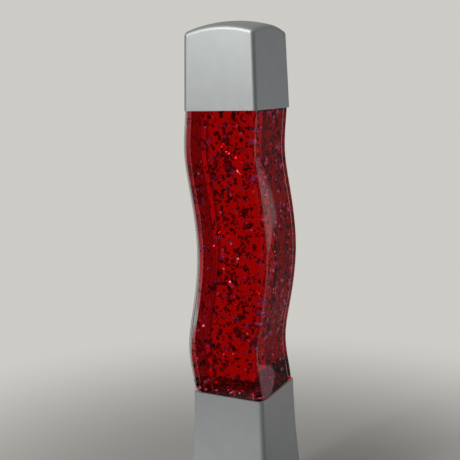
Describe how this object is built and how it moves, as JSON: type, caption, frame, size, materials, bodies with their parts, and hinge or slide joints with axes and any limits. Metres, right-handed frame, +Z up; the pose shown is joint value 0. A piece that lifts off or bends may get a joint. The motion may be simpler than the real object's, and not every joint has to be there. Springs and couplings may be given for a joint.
{
  "type": "glitter lamp",
  "caption": "Tall square glitter lamp: a wavy clear bottle of red liquid and glitter between a domed silver cap and a flared silver base with bulb and switch.",
  "frame": {"origin": "middle of the four feet, on the surface that the lamp stands on", "axes": "+Z up along the lamp, the bottle's wave sways along X, the switch and the cord's inlet look along +Y"},
  "size_m": [0.0778, 0.0778, 0.407],
  "materials": {
    "silver_paint": "satin silver paint",
    "silver_paint_base": "satin silver paint, finely mottled",
    "clear_glass": "clear, polished",
    "red_liquid": "clear red liquid",
    "glitter": "metallised film",
    "settled_glitter": "a heap of metallised flakes",
    "closure_metal": "plain",
    "seal_liner": "foam liner",
    "white_plastic": "moulded",
    "soft_ring": "foam rubber",
    "shield_sheet": "plain sheet",
    "grey_plastic": "moulded, fine grain",
    "zinc_screws": "zinc plated",
    "foot_rubber": "soft",
    "bracket_steel": "zinc plated sheet",
    "black_plastic": "heat resistant",
    "contact_brass": "plain",
    "natural_plastic": "natural",
    "lead_brown": "insulation",
    "lead_blue": "insulation",
    "bush_rubber": "soft",
    "bulb_glass": "clear",
    "bulb_shell_metal": "rolled",
    "black_glass": "glass insulator",
    "solder": "solder",
    "nickel_wire": "wire",
    "tungsten": "wire",
    "rocker_plastic": "polished"
  },
  "bodies": {
    "base": {"base_shell": "silver_paint_base", "vessel_seat": "white_plastic", "seat_gasket": "soft_ring", "heat_shield": "shield_sheet", "bottom_plate": "grey_plastic", "plate_screws": "zinc_screws", "feet": "foot_rubber", "holder_bracket": "bracket_steel", "bracket_screws": "zinc_screws", "holder_screws": "zinc_screws", "lampholder_base": "black_plastic", "lampholder_sleeve": "black_plastic", "thread_liner": "contact_brass", "centre_contact": "contact_brass", "terminal_block": "natural_plastic", "terminal_inserts": "contact_brass", "terminal_screws": "zinc_screws", "block_screw": "zinc_screws", "lead_feed": "lead_brown", "lead_switched": "lead_brown", "lead_neutral": "lead_blue", "cord_bush": "bush_rubber", "switch_housing": "black_plastic", "switch_common_tab": "contact_brass", "switch_load_tab": "contact_brass"},
    "bottle": {"vessel": "clear_glass", "liquid": "red_liquid", "glitter_flakes": "glitter", "settled_glitter": "settled_glitter", "closure_cap": "closure_metal", "closure_seal": "seal_liner"},
    "cap": {"cap_shell": "silver_paint"},
    "bulb": {"bulb_glass": "bulb_glass", "bulb_shell": "bulb_shell_metal", "bulb_insulator": "black_glass", "bulb_tip": "solder", "bulb_stem": "bulb_glass", "filament_wires": "nickel_wire", "filament": "tungsten"},
    "rocker": {"switch_rocker": "rocker_plastic"},
    "blade": {"switch_blade": "contact_brass"}
  },
  "joints": [
    {"name": "bottle_lift", "type": "slide", "parent": "base", "child": "bottle", "axis": [0, 0, 1], "range_m": [0, 0.03]},
    {"name": "cap_lift", "type": "slide", "parent": "bottle", "child": "cap", "axis": [0, 0, 1], "range_m": [0, 0.045]},
    {"name": "bulb_turn", "type": "hinge", "parent": "base", "child": "bulb", "pos_m": [0, 0, 0.04], "axis": [0, 0, 1], "range_deg": [0, 1800]},
    {"name": "switch_rock", "type": "hinge", "parent": "base", "child": "rocker", "pos_m": [0, 0.0315, 0.034], "axis": [1, 0, 0], "range_deg": [0, 18]},
    {"name": "blade_tilt", "type": "hinge", "parent": "base", "child": "blade", "pos_m": [0, 0.0258, 0.034], "axis": [1, 0, 0], "range_deg": [-12, 0]}
  ],
  "couplings": [
    {"joint": "blade_tilt", "follows": "switch_rock", "ratio": -0.66667}
  ]
}
